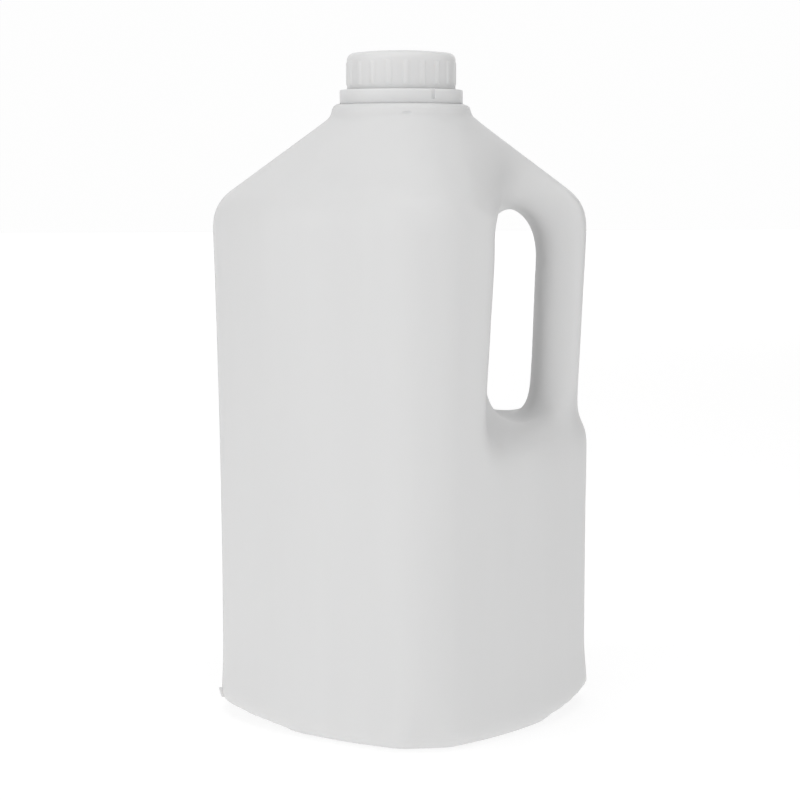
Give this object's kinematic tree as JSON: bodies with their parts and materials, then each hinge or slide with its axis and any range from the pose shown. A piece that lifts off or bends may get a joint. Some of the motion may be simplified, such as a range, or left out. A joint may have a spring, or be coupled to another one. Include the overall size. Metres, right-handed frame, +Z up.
{
  "type": "shampoo jug",
  "caption": "Blank white plastic jug with a rounded square body, a moulded corner handle with a finger gap, a ribbed screw cap and the cap's tear band.",
  "frame": {"origin": "on the surface that the jug stands on, under the neck's axis, which is the middle of the jug's bounding box", "axes": "+Z up along the neck, +X towards the corner with the handle, and the mould parts in the plane Y = 0"},
  "size_m": [0.1707, 0.171, 0.2981],
  "materials": {
    "jug": "natural white polyethylene, satin and slightly translucent",
    "cap": "white plastic, satin",
    "tear_band": "white plastic, satin"
  },
  "bodies": {
    "root": {"jug": "jug", "cap": "cap", "tear_band": "tear_band"}
  },
  "joints": []
}
